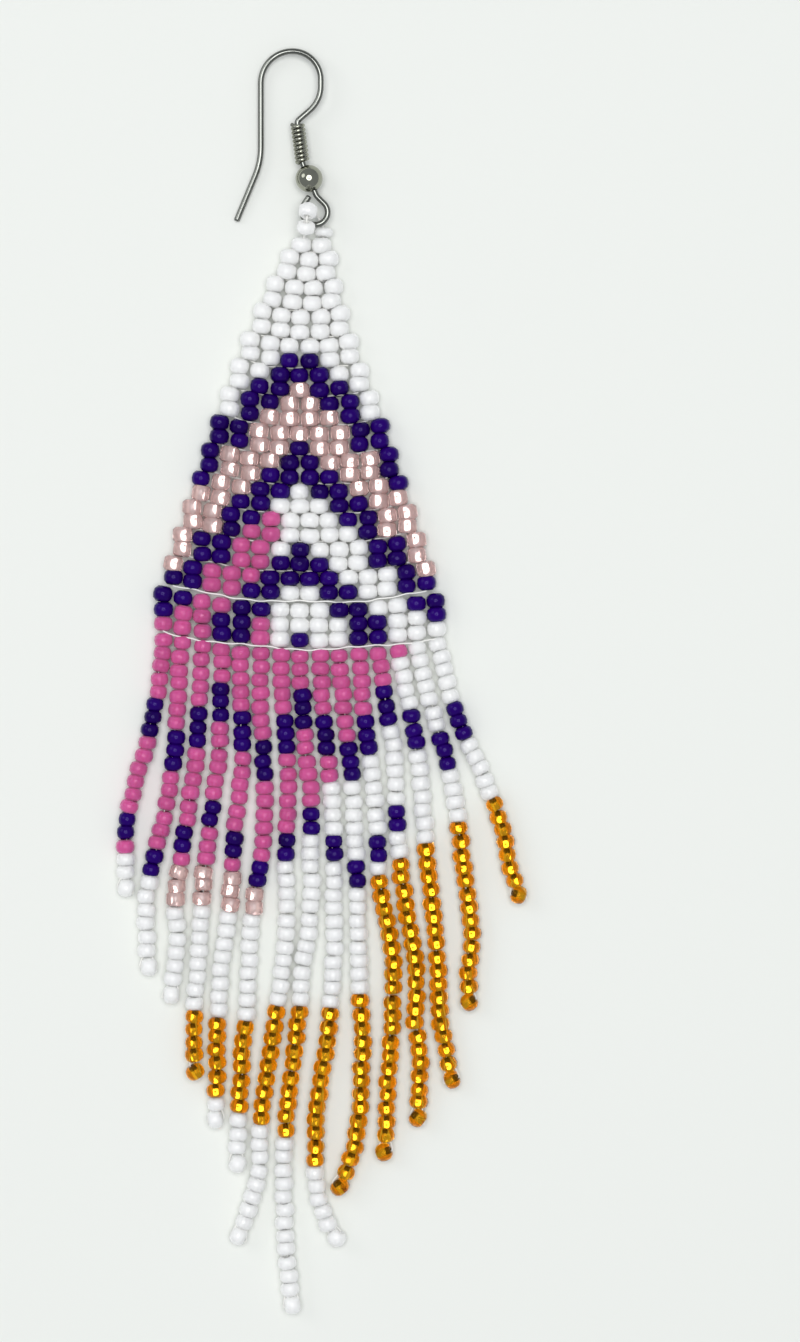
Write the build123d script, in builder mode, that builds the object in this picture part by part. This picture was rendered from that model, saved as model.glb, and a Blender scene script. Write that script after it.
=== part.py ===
from build123d import *
import os
from math import asin, cos, degrees, pi, radians, sin, sqrt, tan

# A beaded fringe earring that lies face up on a table: a bent ear wire with a coil and
# a ball on its shank, a loop of three beads through its eye, a stepped triangular bead
# panel, and fifteen bead strands that hang from the panel's lower edge.
#
# Millimetres. Everything is laid out round the ball, seen from above: X to the right,
# Y towards the bow of the ear wire, Z up from the table. The last lines move all the
# pieces by one offset, so that the origin is under the middle of the whole earring.

os.makedirs("parts", exist_ok=True)

# Seed beads
bead_diameter = 2.0
bead_rounding = 0.45

# Bead panel: one row of 2, pairs of rows of 3 to 14, and a base 3 beads high, with a
# thread line above it
panel_drop = 6.5
column_pitch = 2.14
row_pitch = 1.59
top_columns = 2
base_columns = 15
base_rows = 3
thread_line = 0.35
flat_columns = 1.99
row_sag = 1.7
row_tilt = 0.35
row_lap = 0.6
panel_shift = -1.03
panel_lean = 1.49
lean_length = 12.6
panel_side_rounding = 0.9

# Fringe strands
strand_gap = 0.2
bend_share = 0.45

# Ear wire, drawn flat and then rolled until its tail meets the table
wire_diameter = 0.65
bow_height = 14.0
bow_left = -5.37
bow_right = 1.3
bow_left_radius = 3.4
bow_right_radius = 3.2
shoulder_height = 8.5
shoulder_radius = 3.4
neck_height = 6.3
neck_offset = -1.33
neck_radius = 0.5
shank_foot = 1.765
shank_tilt = 23.4
foot_radius = 1.5
lead_radius = 1.0
tail_bend_height = 1.9
tail_bend_radius = 8.0
tail_length = 7.0
tail_angle = 23.0
wire_end_rounding = 0.2

# Eye at the foot of the shank: round at the right, wider at the left, where the wire
# runs back up to the ball
eye_radius = 1.35
eye_left_radius = 1.5
eye_offset = 0.72
eye_drop = 3.72
eye_lead_angle = 45.0
eye_end_angle = 145.0
eye_end_length = 0.98

# Coil and ball on the shank
coil_wire_diameter = 0.42
coil_pitch = 0.46
coil_clearance = 0.06
coil_top_gap = 0.3
coil_foot_gap = 0.22
ball_diameter = 3.0
ball_bore_clearance = 0.075

# Loop of three beads that joins the eye and the panel: centre, the way the bead's
# thread runs, and the bead's length
loop_thread_diameter = 0.3
loop_end_gap = 0.25
loop_beads = [
    ((-0.31, -5.5, 2.87), (0.12, 0.9, 0.42), 1.4),
    ((-0.08, -3.75, 3.25), (0.15, 0.93, -0.34), 1.5),
    ((1.6, -5.87, 1.0), (-0.05, -1.0, 0.0), 1.0),
]
loop_crossing = [(0.45, -3.25, 1.6), (1.1, -4.35, 0.75)]

# Routes of the strands, chosen by hand: steps from the top of each strand
strand_routes = [
    [(-0.3, -4.6), (-1.3, -10.7), (-3.3, -17.0), (-4.4, -22.8), (-4.1, -29.1)],
    [(-0.6, -6.1), (-0.8, -12.1), (-1.7, -18.7), (-3.4, -25.0), (-4.3, -30.4),
     (-3.7, -37.2)],
    [(-0.2, -6.8), (-0.7, -13.1), (-1.7, -20.2), (-3.2, -28.7), (-2.4, -34.2),
     (-3.7, -39.9)],
    [(-0.1, -7.0), (-0.4, -14.0), (-1.6, -21.7), (-2.3, -28.9), (-2.6, -35.9),
     (-3.3, -41.9), (-2.9, -48.0)],
    [(-0.1, -5.1), (0.3, -12.0), (-0.8, -20.5), (-1.2, -28.8), (-2.4, -36.2),
     (-2.7, -43.6), (-2.8, -53.0)],
    [(-0.1, -6.0), (0.4, -13.2), (0.6, -19.8), (-0.6, -26.4), (-1.3, -33.0),
     (-1.4, -39.6), (-2.4, -47.2), (-2.6, -57.6)],
    [(0.2, -6.4), (1.1, -14.7), (0.5, -21.8), (0.8, -27.9), (0.2, -36.1),
     (-1.2, -44.4), (-2.2, -51.5), (-2.2, -57.0), (-3.4, -61.2), (-4.9, -65.5)],
    [(0.2, -7.1), (1.3, -15.7), (1.1, -22.3), (1.4, -27.8), (0.3, -35.0),
     (-0.3, -42.1), (-1.5, -50.4), (-1.8, -57.0), (-1.7, -62.5), (-1.3, -67.6),
     (-0.8, -72.9)],
    [(0.4, -7.5), (1.3, -14.6), (1.7, -21.2), (1.6, -28.4), (1.7, -34.4),
     (0.9, -42.7), (-0.3, -49.8), (-0.5, -57.0), (0.0, -62.1), (2.5, -65.4)],
    [(0.4, -5.8), (1.4, -13.5), (1.8, -20.7), (2.1, -28.4), (2.1, -33.9),
     (2.6, -42.1), (2.5, -48.2), (2.1, -53.1), (1.1, -57.0), (-0.4, -59.9)],
    [(0.5, -6.0), (1.5, -13.7), (2.2, -20.8), (2.3, -26.3), (3.9, -33.5),
     (3.8, -39.5), (3.3, -46.1), (3.1, -51.1), (2.8, -56.3)],
    [(0.7, -5.6), (2.0, -12.2), (2.1, -18.8), (2.5, -24.8), (3.3, -29.8),
     (4.4, -36.4), (3.9, -40.8), (4.9, -45.9), (4.3, -52.8)],
    [(1.1, -5.8), (2.4, -12.4), (2.8, -17.9), (3.3, -23.4), (4.0, -30.0),
     (4.5, -36.6), (4.6, -41.5), (5.7, -45.1), (6.0, -48.7)],
    [(0.9, -4.8), (2.6, -10.5), (4.2, -16.5), (4.8, -22.0), (5.5, -28.1),
     (6.2, -31.9), (5.6, -36.3), (5.7, -40.6)],
    [(1.1, -4.2), (2.4, -9.4), (5.0, -14.5), (7.3, -20.7), (8.0, -25.1),
     (9.3, -29.2)],
]

wire_radius = wire_diameter / 2
bead_radius = bead_diameter / 2


def bend_radii(route):
    """Largest radius that the two runs at each corner of a route allow."""
    radii = []
    for before, corner, after in zip(route, route[1:], route[2:]):
        run_in = Vector(*corner) - Vector(*before)
        run_out = Vector(*after) - Vector(*corner)
        half_turn = radians(run_in.get_angle(run_out)) / 2
        shorter_run = min(run_in.length, run_out.length)
        radii.append(bend_share * shorter_run / tan(half_turn))
    return radii


# Ear wire: tail, bow, neck, shank and eye in one flat path
shank_way = Vector(sin(radians(shank_tilt)), -cos(radians(shank_tilt)))
tail_way = Vector(-sin(radians(tail_angle)), -cos(radians(tail_angle)))
lead_normal = Vector(cos(radians(eye_lead_angle)), sin(radians(eye_lead_angle)))
eye_centre = Vector(eye_offset, -eye_drop)
lead_end = eye_centre + lead_normal * eye_radius
lead_distance = lead_end.dot(lead_normal) / shank_way.dot(lead_normal)
eye_left_centre = eye_centre + Vector(0, eye_left_radius - eye_radius)
eye_end = eye_left_centre + Vector(eye_left_radius, 0).rotate(Axis.Z, eye_end_angle)
eye_end_way = Vector(sin(radians(eye_end_angle)), -cos(radians(eye_end_angle)))

tail_bend = Vector(bow_left, tail_bend_height)
tail_tip = tail_bend + tail_way * tail_length
neck = Vector(neck_offset, neck_height)
shank_top = shank_way * -shank_foot
wire_corners = [
    tail_tip,
    tail_bend,
    Vector(bow_left, bow_height),
    Vector(bow_right, bow_height),
    Vector(bow_right, shoulder_height),
    neck,
    shank_top,
    shank_way * lead_distance,
    lead_end,
]
wire_corner_radii = [
    tail_bend_radius,
    bow_left_radius,
    bow_right_radius,
    shoulder_radius,
    neck_radius,
    foot_radius,
    lead_radius,
]


def flat(point):
    """A point of the flat path as the pair that its sketch plane places."""
    return (point.X, point.Y)


# The ball lies on the table, and the tail's tip meets it on the left
ball_height = ball_diameter / 2
roll = asin((ball_height - wire_radius) / -tail_tip.X)
hook_plane = Plane(
    origin=(0, 0, ball_height),
    x_dir=(cos(roll), 0, sin(roll)),
    z_dir=(-sin(roll), 0, cos(roll)),
)

with BuildPart() as ear_hook:
    with BuildLine(hook_plane) as wire_path:
        FilletPolyline([flat(corner) for corner in wire_corners], radius=wire_corner_radii)
        CenterArc(flat(eye_centre), eye_radius, eye_lead_angle, -90 - eye_lead_angle)
        CenterArc(flat(eye_left_centre), eye_left_radius, 270, eye_end_angle - 270)
        Line(flat(eye_end), flat(eye_end + eye_end_way * eye_end_length))
    wire_route = wire_path.wire()
    with BuildSketch(Plane(origin=wire_route @ 0, z_dir=wire_route % 0)):
        Circle(wire_radius)
    sweep(path=wire_route)
    wire_ends = ear_hook.faces().filter_by(GeomType.PLANE)
    fillet(wire_ends.edges(), radius=wire_end_rounding)
ear_hook.part.label = "ear_hook"

# Coil round the straight part of the shank, from below the neck to above the foot
coil_way = (shank_top - neck).normalized()
coil_start = neck + coil_way * coil_top_gap
coil_span = (shank_top - neck).length - coil_top_gap - coil_foot_gap
coil_radius = wire_radius + coil_clearance + coil_wire_diameter / 2
coil_top = hook_plane.from_local_coords(coil_start)
coil_axis = hook_plane.from_local_coords(coil_start + coil_way) - coil_top

with BuildPart() as hook_coil:
    with BuildLine():
        coil_path = Helix(
            pitch=coil_pitch,
            height=coil_span,
            radius=coil_radius,
            center=coil_top,
            direction=coil_axis,
        )
    with BuildSketch(Plane(origin=coil_path @ 0, z_dir=coil_path % 0)):
        Circle(coil_wire_diameter / 2)
    sweep(path=coil_path, is_frenet=True)
hook_coil.part.label = "hook_coil"

# Ball, drilled along the shank
ball_centre = hook_plane.from_local_coords(Vector(0, 0))
ball_axis = hook_plane.from_local_coords(shank_way) - ball_centre

with BuildPart(Plane(origin=ball_centre, z_dir=ball_axis)) as hook_ball:
    Sphere(ball_diameter / 2)
    Hole(wire_radius + ball_bore_clearance)
hook_ball.part.label = "hook_ball"


# Panel: each row is a sagging band, rounded at its sides, that laps the row above
def row_middle(height):
    """Middle of the panel at a height: the top of the panel leans to the right."""
    lean_share = max(0, 1 + (height + panel_drop) / lean_length)
    return panel_shift + panel_lean * lean_share**2


def row_half_width(columns):
    """Half the width of a row of beads."""
    return ((columns - 1) * column_pitch + bead_diameter) / 2


def row_rise(columns, across):
    """Rise of a row above its middle, at a distance across from the middle."""
    bend = sqrt((columns - flat_columns) / (base_columns - flat_columns))
    share = across / row_half_width(columns)
    return bend * (row_sag * share**2 - row_tilt * share)


def panel_band(columns, top, bottom):
    """One row of the panel as a rounded slab between two arcs."""
    middle = row_middle((top + bottom) / 2)
    half_width = row_half_width(columns)
    places = (-half_width, 0, half_width)
    with BuildPart() as band:
        with BuildSketch():
            with BuildLine():
                lower = ThreePointArc(
                    [(middle + x, bottom + row_rise(columns, x)) for x in places]
                )
                upper = ThreePointArc(
                    [(middle + x, top + row_rise(columns, x)) for x in places]
                )
                Line(lower @ 0, upper @ 0)
                Line(lower @ 1, upper @ 1)
            make_face()
        extrude(amount=bead_diameter)
        fillet(band.edges().filter_by(Axis.Y), radius=panel_side_rounding)
    return band.part


panel_top = -panel_drop
panel_bands = []
band_top = panel_top
for columns in range(top_columns, base_columns):
    beads_high = 1 if columns == top_columns else 2
    lap = 0 if columns == top_columns else row_lap
    band_bottom = band_top - beads_high * row_pitch
    panel_bands.append(panel_band(columns, band_top + lap, band_bottom))
    band_top = band_bottom
panel_bottom = band_top - thread_line - base_rows * row_pitch
panel_bands.append(panel_band(base_columns, band_top + row_lap, panel_bottom))

with BuildPart() as bead_panel:
    add(panel_bands)
bead_panel.part.label = "bead_panel"

# Loop of beads: up from the panel's left top bead, down through the eye, and back to
# the right one
top_middle = row_middle(panel_top - row_pitch / 2)
loop_feet = []
for side in (-1, 1):
    across = side * column_pitch / 2
    height = panel_top + row_rise(top_columns, across) + loop_end_gap
    loop_feet.append((top_middle + across, height, bead_radius))
first_bead, eye_bead, last_bead = loop_beads


def bead_ends(bead):
    """Where the thread enters and leaves a bead."""
    centre, way, length = bead
    half = Vector(*way).normalized() * (length / 2)
    return [Vector(*centre) - half, Vector(*centre) + half]


def loop_bead(centre, way, length):
    """A bead with rounded rims round the thread's way."""
    with BuildPart(Plane(origin=centre, z_dir=way)) as bead:
        Cylinder(bead_radius, length)
        fillet(bead.edges().filter_by(GeomType.CIRCLE), radius=bead_rounding)
    return bead.part


loop_route = [Vector(*loop_feet[0])]
loop_route += bead_ends(first_bead)
loop_route += bead_ends(eye_bead)
loop_route += [Vector(*point) for point in loop_crossing]
loop_route += bead_ends(last_bead)[:1]
loop_route += [Vector(*loop_feet[1])]
loop_bead_parts = [loop_bead(*bead) for bead in loop_beads]

with BuildPart() as bead_loop:
    with BuildLine() as loop_path:
        FilletPolyline(loop_route, radius=bend_radii(loop_route))
    loop_wire = loop_path.wire()
    with BuildSketch(Plane(origin=loop_wire @ 0, z_dir=loop_wire % 0)):
        Circle(loop_thread_diameter / 2)
    sweep(path=loop_wire)
    add(loop_bead_parts)
bead_loop.part.label = "bead_loop"

# Strands: tubes of straight runs and tangent arcs, that start below the panel's base
strands = []
base_middle = row_middle(panel_bottom)
for number, steps in enumerate(strand_routes, start=1):
    across = (number - (base_columns + 1) / 2) * column_pitch
    top = Vector(
        base_middle + across,
        panel_bottom + row_rise(base_columns, across) - strand_gap,
        bead_radius,
    )
    route = [top] + [top + Vector(*step) for step in steps]
    with BuildPart() as strand:
        with BuildLine() as strand_path:
            FilletPolyline(route, radius=bend_radii(route))
        strand_wire = strand_path.wire()
        with BuildSketch(Plane(origin=strand_wire @ 0, z_dir=strand_wire % 0)):
            Circle(bead_radius)
        sweep(path=strand_wire)
    strand.part.label = f"fringe_strand_{number:02d}"
    strands.append(strand.part)
    section_volume = pi * bead_radius**2 * strand_wire.length
    print(
        strand.part.label,
        f"length {strand_wire.length:.1f}",
        f"volume share {strand.part.volume / section_volume:.4f}",
    )

# One offset puts the origin under the middle of everything
pieces = [ear_hook.part, hook_coil.part, hook_ball.part, bead_loop.part, bead_panel.part]
pieces += strands
whole = Compound(pieces).bounding_box()
home = Location((-whole.center().X, -whole.center().Y, -whole.min.Z))
for piece in pieces:
    placed = piece.moved(home)
    placed.label = piece.label
    export_step(placed, f"parts/{piece.label}.step")

print("home", home.position, "size", whole.size, "roll", round(degrees(roll), 2))
print("tail tip", hook_plane.from_local_coords(tail_tip) + home.position)
print("tail way", hook_plane.from_local_coords(tail_way) - ball_centre)
print("bow top", hook_plane.from_local_coords(Vector((bow_left + bow_right) / 2, bow_height))
      + home.position)
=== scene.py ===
"""Beaded fringe earring: glass seed beads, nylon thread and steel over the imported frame.

The tables and sizes are millimetres in the layout of the part's source, seen from above
with the ball of the ear wire at zero. placed() turns them into metres in the frame.
"""
import math

import bmesh
import bpy
from mathutils import Matrix, Vector


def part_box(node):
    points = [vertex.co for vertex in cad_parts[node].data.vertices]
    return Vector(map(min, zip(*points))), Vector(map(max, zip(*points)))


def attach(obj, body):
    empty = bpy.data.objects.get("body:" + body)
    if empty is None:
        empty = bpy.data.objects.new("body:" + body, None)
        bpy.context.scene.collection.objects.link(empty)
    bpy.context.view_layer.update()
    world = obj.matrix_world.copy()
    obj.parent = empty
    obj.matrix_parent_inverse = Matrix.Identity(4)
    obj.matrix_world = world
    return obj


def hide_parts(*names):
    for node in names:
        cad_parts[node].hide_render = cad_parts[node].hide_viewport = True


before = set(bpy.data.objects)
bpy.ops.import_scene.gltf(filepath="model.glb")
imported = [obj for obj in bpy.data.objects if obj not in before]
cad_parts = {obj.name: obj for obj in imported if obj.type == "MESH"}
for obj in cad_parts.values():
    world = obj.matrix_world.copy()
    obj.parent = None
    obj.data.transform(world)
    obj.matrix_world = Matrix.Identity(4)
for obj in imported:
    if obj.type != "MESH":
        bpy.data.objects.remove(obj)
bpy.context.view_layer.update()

bl_info = {
    "name": "Beaded Fringe Earring",
    "version": (1, 0, 0),
    "blender": (4, 5, 0),
    "location": "View3D > Sidebar > Earring",
    "description": "Threads glass beads on the strands and the panel of a fringe earring",
    "category": "Add Mesh",
}

MM = 0.001
BODY = "root"
WHITE, ROSE, VIOLET, BLUSH, AMBER = range(5)
SLOTS = ("white_beads", "rose_beads", "violet_beads", "blush_beads", "amber_beads")

# Columns of beads in the panel's top and base rows, and rows of each width
TOP_COLUMNS = 2
BASE_COLUMNS = 15
TOP_ROWS = 1
STEP_ROWS = 2
BASE_ROWS = 3
MIDDLE_STRAND = (BASE_COLUMNS + 1) / 2

# Rows of this many columns hang straight, and rows of these many lie looser
FLAT_COLUMNS = 1.99
LOOSE_COLUMNS = (5, 12)

# Outlines of the three bead shapes from hole to hole, as shares of height and half
# width: the round opaque bead, the squarer blush bead and the bulging amber bead.
# None stands for the hole's wall.
BEAD_SHAPES = ("round_bead", "barrel_bead", "lobe_bead")
ROUND_OUTLINE = [(-0.42, None), (-0.5, 0.6), (-0.3, 0.93), (0.0, 1.01), (0.3, 0.93),
                 (0.5, 0.6), (0.42, None)]
BARREL_OUTLINE = [(-0.49, None), (-0.5, 0.74), (-0.34, 1.0), (0.34, 1.0), (0.5, 0.74),
                  (0.49, None)]
LOBE_OUTLINE = [(-0.49, None), (-0.5, 0.6), (-0.32, 0.93), (0.0, 1.05), (0.32, 0.93),
                (0.5, 0.6), (0.49, None)]
ROUND_SIDES = 10
BARREL_SIDES = 12
LOBE_SIDES = 8

# A bead shifts up or down by this share of its shift over the table
LIFT_OVER_SHIFT = 0.3

# Strand beads lie looser than panel beads, and press into one another a little
STRAND_LOOSENESS = 1.5
STRAND_OVERLAP = 1.03

# Gap between the panel's foot and the strands
STRAND_GAP = 0.2

# A panel bead leans by as much as its row rises over this distance
LEAN_REACH = 0.5

# Steps of a curve from control to control, where beads are threaded and in thread itself
BEAD_STEPS = 12
THREAD_STEPS = 3

# Sheen of milky glass for each metre that light glows on in it
GLOW_SHEEN = 0.83 / MM

# Chevrons of the panel, in rows, and the column where rose gives way to white
CHEVRON_TOP = 7.0
CHEVRON_REPEAT = 6.5
CHEVRON_THICK = 2.6
CHEVRON_SLOPE = 1.5
ROSE_EDGE = -1.2

# Violet dashes of the fringe: first bead, number of beads, last strand
DASHES = [
    (3, 3, 15),
    (12, 2, 12),
]
DASH_STEP = 2

# Bands of the fringe, in beads from the top of a strand. Rose ends at one bead on the
# first strands, and falls short of it on each strand after them. Blush follows on a few
# strands. Amber starts earlier and ends later from strand to strand, until it runs to
# the tip, and on the last strands it starts higher up.
ROSE_END = 17
ROSE_FALL = 2.4
ROSE_LEVEL_STRANDS = 6
BLUSH_STRANDS = (3, 4, 5, 6)
BLUSH_BEADS = 3
AMBER_STRAND = 4
AMBER_START = 28
AMBER_LIFT = 0.35
AMBER_END = 32
AMBER_DROP = 1.25
AMBER_TIP_STRAND = 10
HIGH_AMBER_STRAND = 11
HIGH_AMBER_START = 17
HIGH_AMBER_LIFT = 1.2

# Thread lines between rows: height of the thread over a bead and between two, as shares
# of a bead's radius, for the lines that show and for those in the grooves
SHOWN_LIE = (1.78, 1.5)
HIDDEN_LIE = (1.1, 0.9)

# Waves of the thread lines, in radians for each half column and for each row
WAVES = [(2.3, 1.7), (0.55, 2.9)]

# Stage: the floor's radius in metres, the sides of a round board, the height of the
# camera's sensor in millimetres, and each light's name, place from the picture's centre
# and diameter in metres, and power in watts
FLOOR_RADIUS = 2.0
BOARD_SIDES = 48
SENSOR_HEIGHT = 24.0
LIGHTS = [
    ("overhead", (0.0, 0.05, 0.9), 0.7, 6.4),
    ("left window", (-0.7, 0.35, 0.55), 0.5, 1.0),
]

BALL_LOW, BALL_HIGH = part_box("hook_ball")
HOME = Vector(((BALL_LOW.x + BALL_HIGH.x) / 2, (BALL_LOW.y + BALL_HIGH.y) / 2, 0))

# Steps of each strand from its top, as in the part's source
STRAND_ROUTES = [
    [(-0.3, -4.6), (-1.3, -10.7), (-3.3, -17.0), (-4.4, -22.8), (-4.1, -29.1)],
    [(-0.6, -6.1), (-0.8, -12.1), (-1.7, -18.7), (-3.4, -25.0), (-4.3, -30.4),
     (-3.7, -37.2)],
    [(-0.2, -6.8), (-0.7, -13.1), (-1.7, -20.2), (-3.2, -28.7), (-2.4, -34.2),
     (-3.7, -39.9)],
    [(-0.1, -7.0), (-0.4, -14.0), (-1.6, -21.7), (-2.3, -28.9), (-2.6, -35.9),
     (-3.3, -41.9), (-2.9, -48.0)],
    [(-0.1, -5.1), (0.3, -12.0), (-0.8, -20.5), (-1.2, -28.8), (-2.4, -36.2),
     (-2.7, -43.6), (-2.8, -53.0)],
    [(-0.1, -6.0), (0.4, -13.2), (0.6, -19.8), (-0.6, -26.4), (-1.3, -33.0),
     (-1.4, -39.6), (-2.4, -47.2), (-2.6, -57.6)],
    [(0.2, -6.4), (1.1, -14.7), (0.5, -21.8), (0.8, -27.9), (0.2, -36.1),
     (-1.2, -44.4), (-2.2, -51.5), (-2.2, -57.0), (-3.4, -61.2), (-4.9, -65.5)],
    [(0.2, -7.1), (1.3, -15.7), (1.1, -22.3), (1.4, -27.8), (0.3, -35.0),
     (-0.3, -42.1), (-1.5, -50.4), (-1.8, -57.0), (-1.7, -62.5), (-1.3, -67.6),
     (-0.8, -72.9)],
    [(0.4, -7.5), (1.3, -14.6), (1.7, -21.2), (1.6, -28.4), (1.7, -34.4),
     (0.9, -42.7), (-0.3, -49.8), (-0.5, -57.0), (0.0, -62.1), (2.5, -65.4)],
    [(0.4, -5.8), (1.4, -13.5), (1.8, -20.7), (2.1, -28.4), (2.1, -33.9),
     (2.6, -42.1), (2.5, -48.2), (2.1, -53.1), (1.1, -57.0), (-0.4, -59.9)],
    [(0.5, -6.0), (1.5, -13.7), (2.2, -20.8), (2.3, -26.3), (3.9, -33.5),
     (3.8, -39.5), (3.3, -46.1), (3.1, -51.1), (2.8, -56.3)],
    [(0.7, -5.6), (2.0, -12.2), (2.1, -18.8), (2.5, -24.8), (3.3, -29.8),
     (4.4, -36.4), (3.9, -40.8), (4.9, -45.9), (4.3, -52.8)],
    [(1.1, -5.8), (2.4, -12.4), (2.8, -17.9), (3.3, -23.4), (4.0, -30.0),
     (4.5, -36.6), (4.6, -41.5), (5.7, -45.1), (6.0, -48.7)],
    [(0.9, -4.8), (2.6, -10.5), (4.2, -16.5), (4.8, -22.0), (5.5, -28.1),
     (6.2, -31.9), (5.6, -36.3), (5.7, -40.6)],
    [(1.1, -4.2), (2.4, -9.4), (5.0, -14.5), (7.3, -20.7), (8.0, -25.1),
     (9.3, -29.2)],
]

# Turn of each strand's last bead from its strand's line, in degrees
TIP_TURNS = [62, 78, -70, 32, -75, 66, 80, -84, -58, 74, -66, 60, -72, -64, 58]

# The thread runs down each strand through these shares of its length, then through the
# last bead and back: shares of the bead's height along its hole, and of its radius
# outwards
THREAD_STOPS = (0.0, 0.25, 0.5, 0.75, 0.97)
TIP_STITCH = [
    (0.55, -0.3),
    (0.5775, 0.3),
    (0.275, 0.0),
    (0.0, 0.0),
    (-0.275, 0.0),
    (-0.5775, 0.3),
    (-0.55, -0.3),
]

# Beads of the loop: centre, the way the thread runs, and the length
LOOP_BEADS = [
    ((-0.31, -5.5, 2.87), (0.12, 0.9, 0.42), 1.4),
    ((-0.08, -3.75, 3.25), (0.15, 0.93, -0.34), 1.5),
    ((1.6, -5.87, 1.0), (-0.05, -1.0, 0.0), 1.0),
]
LOOP_CROSSING = [(0.45, -3.25, 1.6), (1.1, -4.35, 0.75)]


def placed(x, y, z=0.0):
    """A place in the layout as metres in the frame."""
    return HOME + Vector((x, y, z)) * MM


def linear(hex_colour):
    """A hex sRGB colour as the linear red, green, blue and alpha that shaders take."""
    channels = [int(hex_colour[i:i + 2], 16) / 255 for i in (1, 3, 5)]
    turned = [c / 12.92 if c <= 0.04045 else ((c + 0.055) / 1.055) ** 2.4 for c in channels]
    return (*turned, 1.0)


def add_node(tree, kind, inputs=None, **settings):
    """Adds a node with its settings, and links or sets its inputs by name or number."""
    node = tree.nodes.new(kind)
    for name, value in settings.items():
        setattr(node, name, value)
    for name, value in (inputs or {}).items():
        if isinstance(value, bpy.types.NodeSocket):
            tree.links.new(value, node.inputs[name])
        else:
            node.inputs[name].default_value = value
    return node


# Settings


def length(name, default, description, least=0.0):
    """A size setting, with its default and its least value in millimetres."""
    return bpy.props.FloatProperty(
        name=name, default=default * MM, description=description, subtype="DISTANCE",
        unit="LENGTH", min=least * MM, precision=5,
    )


def colour(name, hex_colour, description):
    """A colour setting, with its default as a hex sRGB colour."""
    return bpy.props.FloatVectorProperty(
        name=name, default=linear(hex_colour), description=description,
        subtype="COLOR", size=4, min=0.0, max=1.0,
    )


class EarringBeads(bpy.types.PropertyGroup):
    """Sizes of the beads and of their spacing"""
    diameter: length("Bead diameter", 2.04, "Width of a seed bead across its hole")
    panel_width: length("Panel bead width", 2.16, "Width of the beads of the panel")
    height: length("Bead height", 1.64, "Length of a seed bead along its hole")
    hole: length("Hole diameter", 0.7, "Width of the drawn hole of an opaque bead")
    lining: length("Lining width", 0.52, "Width of the square hole of a blush bead")
    slim_lining: length("Slim lining width", 0.42, "Width of the square hole of amber")
    lining_turn: bpy.props.FloatProperty(
        name="Lining turn", default=math.radians(5), subtype="ANGLE", unit="ROTATION",
        description="Turn of the square hole round the thread",
    )
    pitch: length("Strand pitch", 1.46, "Distance from bead to bead along a strand")
    column_pitch: length("Column pitch", 2.14, "Distance from column to column")
    row_pitch: length("Row pitch", 1.59, "Distance from row to row of the panel")
    size_spread: bpy.props.FloatProperty(
        name="Size spread", default=0.045, min=0.0, max=0.3,
        description="Share by which the beads differ in width and height",
    )
    tilt_spread: bpy.props.FloatProperty(
        name="Tilt spread", default=math.radians(6), subtype="ANGLE", unit="ROTATION",
        description="Largest tilt of a bead off its thread",
    )
    place_spread: length("Place spread", 0.07, "Largest shift of a bead off its place")
    rise: length("Rise", 0.1, "Room under a bead of the usual width for wider beads")
    seed: bpy.props.IntProperty(
        name="Seed", default=11, description="Fixed start of the random draws",
    )


class EarringPanel(bpy.types.PropertyGroup):
    """Form of the stepped bead panel"""
    drop: length("Panel drop", 6.5, "From the ball's centre down to the panel's top")
    thread_line: length("Thread line", 0.35, "Gap that the thread takes above the base")
    sag: length("Row sag", 1.7, "Rise of the base row's ends above its middle")
    tilt: length("Row tilt", 0.35, "Rise of the base row's left end above the right")
    shift: length("Panel shift", -1.03, "Middle of the panel beside the ball", least=-20.0)
    lean: length("Panel lean", 1.49, "How far the panel's top leans to the right")
    lean_length: length("Lean length", 12.6, "Height of the part that leans")
    looseness: bpy.props.FloatProperty(
        name="Looseness", default=0.03, min=0.0, max=0.1, subtype="FACTOR",
        description="Share by which the middle rows spread beyond their pitch",
    )


class EarringThreads(bpy.types.PropertyGroup):
    """Thickness and lie of the beading threads"""
    loop: length("Loop thread", 0.24, "Diameter of the thread through the loop's beads")
    strand: length("Strand thread", 0.14, "Diameter of the thread through the strands")
    panel: length("Panel thread", 0.16, "Diameter of the thread between the rows")
    wave: length("Thread wave", 0.12, "Height of each wave of the thread between rows")


class EarringColours(bpy.types.PropertyGroup):
    """Colours of glass, thread and steel"""
    white: colour("White", "#F9F9F5", "Opaque white glass")
    rose: colour("Rose", "#D05C9A", "Opaque rose glass")
    violet: colour("Violet", "#250068", "Opaque violet glass")
    blush: colour("Blush", "#FFDFDB", "Clear blush glass")
    blush_lining: colour("Blush lining", "#FFFDFC", "Silver lining of the blush beads")
    amber: colour("Amber", "#FFB928", "Clear amber glass")
    amber_lining: colour("Amber lining", "#FFFFDA", "Silver lining of the amber beads")
    # Painted shade: dark colour painted over the mouth of each silver-lined hole, where its
    # end looks dark through the bead's rim
    painted_mouth_shade: colour("Mouth shade", "#3F2719", "Bare glass where the silver has worn off")
    thread: colour("Thread", "#F1F0EC", "Nylon beading thread")
    wire: colour("Wire", "#858782", "Drawn steel wire")
    ball: colour("Ball", "#ACAD9F", "Tumbled steel of the ball and the coil")


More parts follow.
